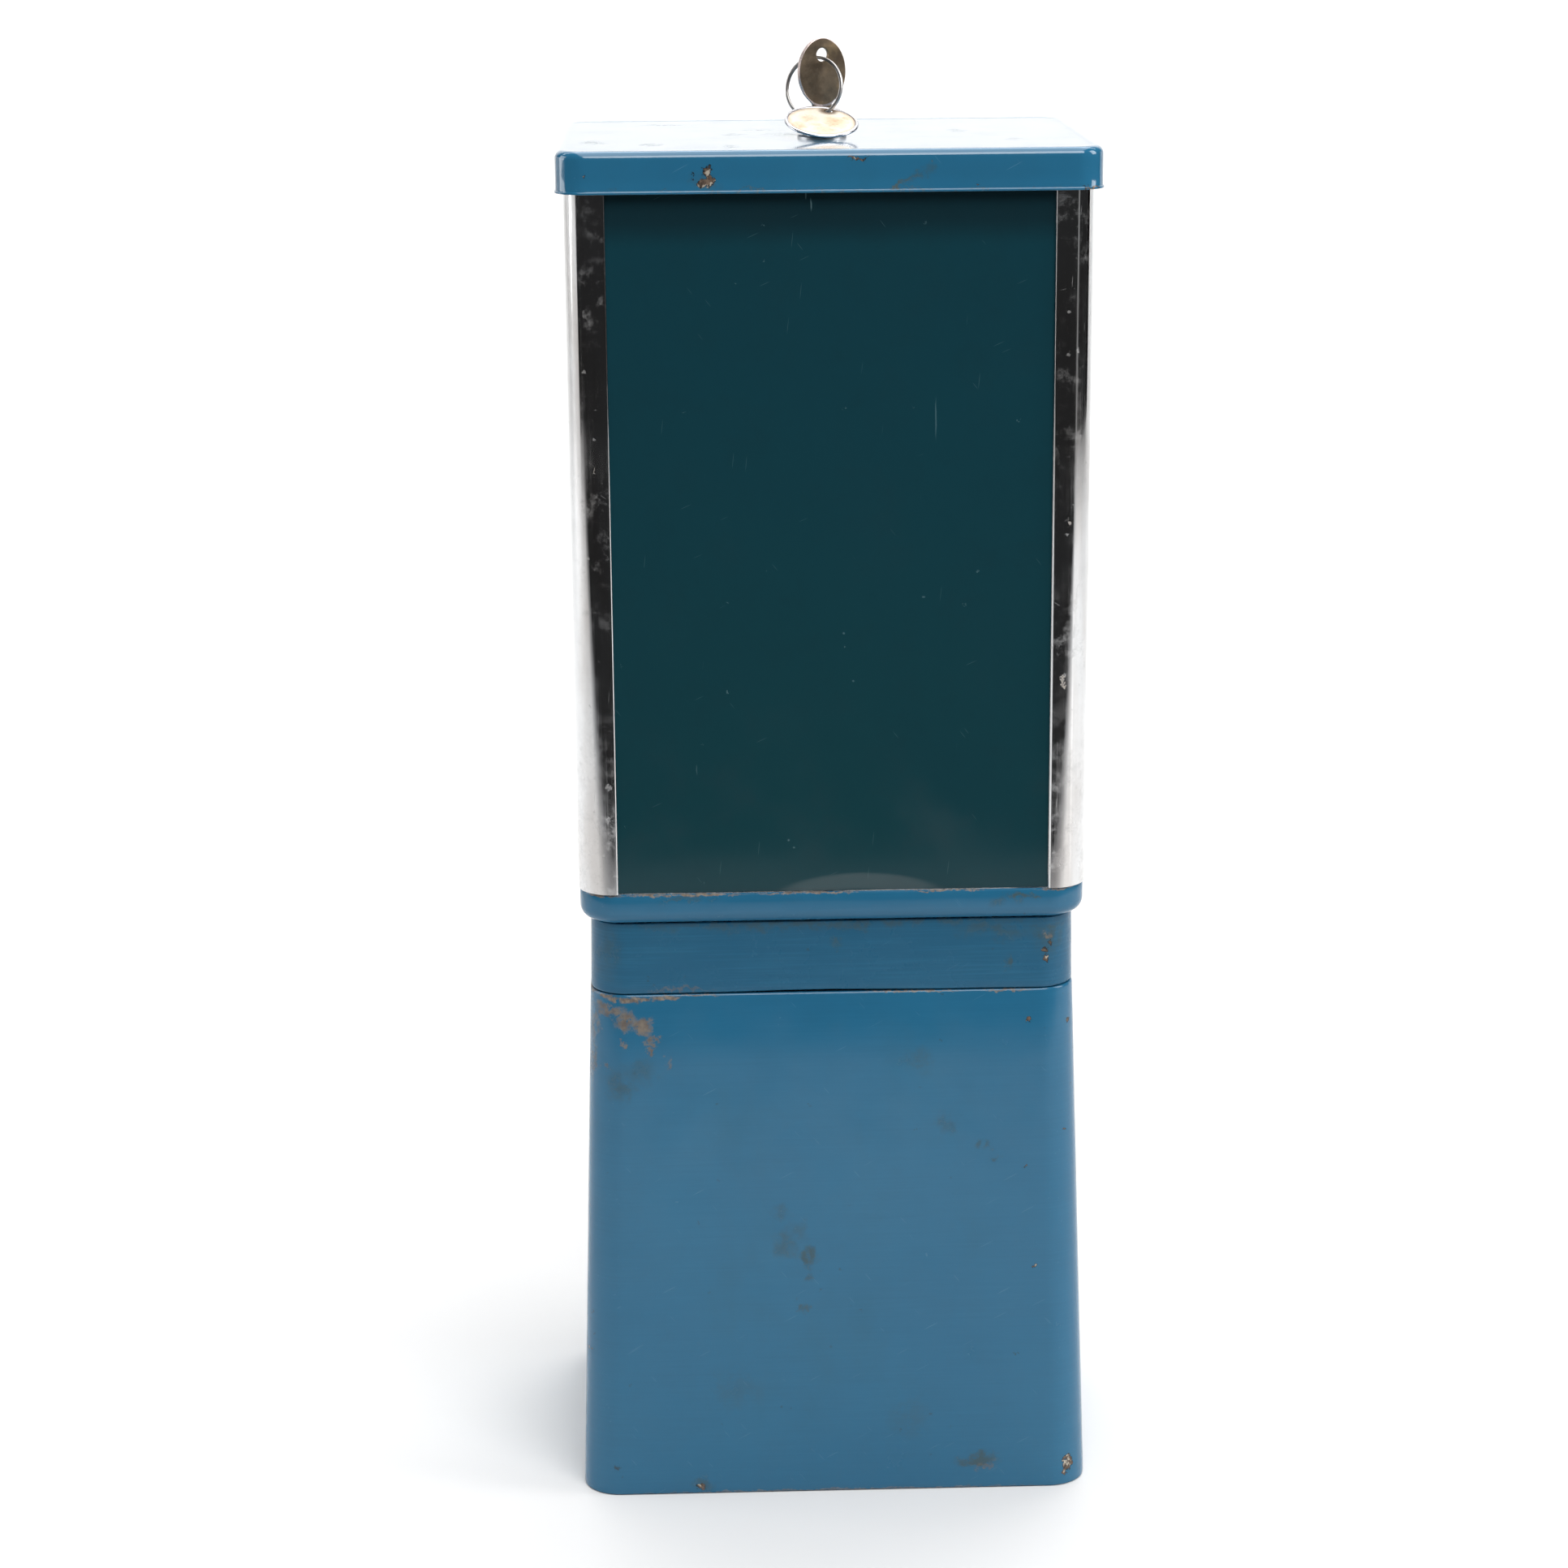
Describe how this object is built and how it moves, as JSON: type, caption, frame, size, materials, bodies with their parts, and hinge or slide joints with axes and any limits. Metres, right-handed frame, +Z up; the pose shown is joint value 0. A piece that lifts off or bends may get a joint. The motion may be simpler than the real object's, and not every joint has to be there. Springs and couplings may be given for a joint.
{
  "type": "capsule vendor",
  "caption": "Countertop capsule vendor: tapered blue body, necked tray, four-post chrome head with dark rear panel, rolled-edge lid with lock, key and tag.",
  "frame": {"origin": "middle of the underside of the base plate, on the surface the vendor stands on", "axes": "+Z up, the coin side faces -Y, the plain rear panel faces +Y"},
  "size_m": [0.203, 0.1866, 0.57],
  "materials": {
    "blue_enamel": "glossy blue enamel with chips",
    "teal_enamel": "glossy dark teal enamel",
    "chrome": "polished bright metal with fine scratches",
    "steel": "plain steel",
    "brass": "machined brass",
    "key_bronze": "dull dark bronze",
    "clear": "clear window",
    "white_plastic": "moulded white plastic",
    "card": "coated card",
    "bristle": "black bristle"
  },
  "bodies": {
    "cabinet": {"base_plate": "steel", "body_shell": "blue_enamel", "wheel_base_plate": "steel", "exit_duct": "steel", "chute": "steel", "cash_box": "steel", "coin_slide": "steel", "neck_housing": "blue_enamel", "hopper_tray": "blue_enamel", "corner_post_rear_left": "chrome", "corner_post_rear_right": "chrome", "corner_post_front_right": "chrome", "corner_post_front_left": "chrome", "rear_panel": "teal_enamel", "front_window": "clear", "side_window_right": "clear", "side_window_left": "clear", "centre_rod": "steel", "wheel_bushing": "brass", "rod_collar": "steel", "lid_catch": "steel", "catch_nut_lower": "steel", "catch_nut_upper": "steel", "brush_hood": "steel", "exit_brush": "bristle", "mech_housing": "chrome", "mech_faceplate": "chrome", "mech_screw_upper_left": "steel", "mech_screw_upper_right": "steel", "mech_screw_lower_left": "steel", "mech_screw_lower_right": "steel", "pawl_pin": "steel", "chute_bezel": "chrome", "chute_hinge_pin": "steel"},
    "lid": {"lid": "blue_enamel", "lock_barrel": "chrome", "lock_nut": "steel"},
    "lock_plug": {"lock_plug": "brass", "lock_cam": "steel"},
    "key": {"key": "key_bronze"},
    "key_ring": {"key_ring": "steel"},
    "key_tag": {"key_tag_card": "card", "key_tag_rim": "chrome"},
    "handle": {"handle_shaft": "steel", "handle": "chrome", "handle_screw": "steel", "coin_carrier": "brass", "ratchet_wheel": "steel", "drive_pinion": "brass"},
    "wheel": {"dispensing_wheel": "white_plastic", "agitator": "steel"},
    "pawl": {"pawl": "steel"},
    "chute_door": {"chute_door": "chrome"}
  },
  "joints": [
    {"name": "wheel_turn", "type": "hinge", "parent": "cabinet", "child": "wheel", "pos_m": [0, 0, 0.228], "axis": [0, 0, 1], "continuous": true},
    {"name": "handle_turn", "type": "hinge", "parent": "cabinet", "child": "handle", "pos_m": [0, -0.09, 0.2016], "axis": [0, -1, 0], "continuous": true},
    {"name": "pawl_lift", "type": "hinge", "parent": "cabinet", "child": "pawl", "pos_m": [-0.0215, -0.0765, 0.1835], "axis": [0, 1, 0], "range_deg": [-12, 0]},
    {"name": "chute_door_swing", "type": "hinge", "parent": "cabinet", "child": "chute_door", "pos_m": [0, -0.0792, 0.0655], "axis": [-1, 0, 0], "range_deg": [0, 75]},
    {"name": "lid_lift", "type": "slide", "parent": "cabinet", "child": "lid", "axis": [0, 0, 1], "range_m": [0, 0.06]},
    {"name": "lock_turn", "type": "hinge", "parent": "lid", "child": "lock_plug", "pos_m": [0, 0, 0.52], "axis": [0, 0, 1], "range_deg": [0, 90]},
    {"name": "key_pull", "type": "slide", "parent": "lock_plug", "child": "key", "axis": [0, 0, 1], "range_m": [0, 0.03]},
    {"name": "ring_swing", "type": "hinge", "parent": "key", "child": "key_ring", "pos_m": [0, 0, 0.5625], "axis": [0.9063, 0.4226, 0], "range_deg": [0, 20]},
    {"name": "tag_lift", "type": "hinge", "parent": "key_ring", "child": "key_tag", "pos_m": [-0.00216, 0.00661, 0.54277], "axis": [0.9781, 0.2079, 0], "range_deg": [0, 18]}
  ],
  "couplings": [
    {"joint": "handle_turn", "follows": "wheel_turn", "ratio": -5}
  ]
}
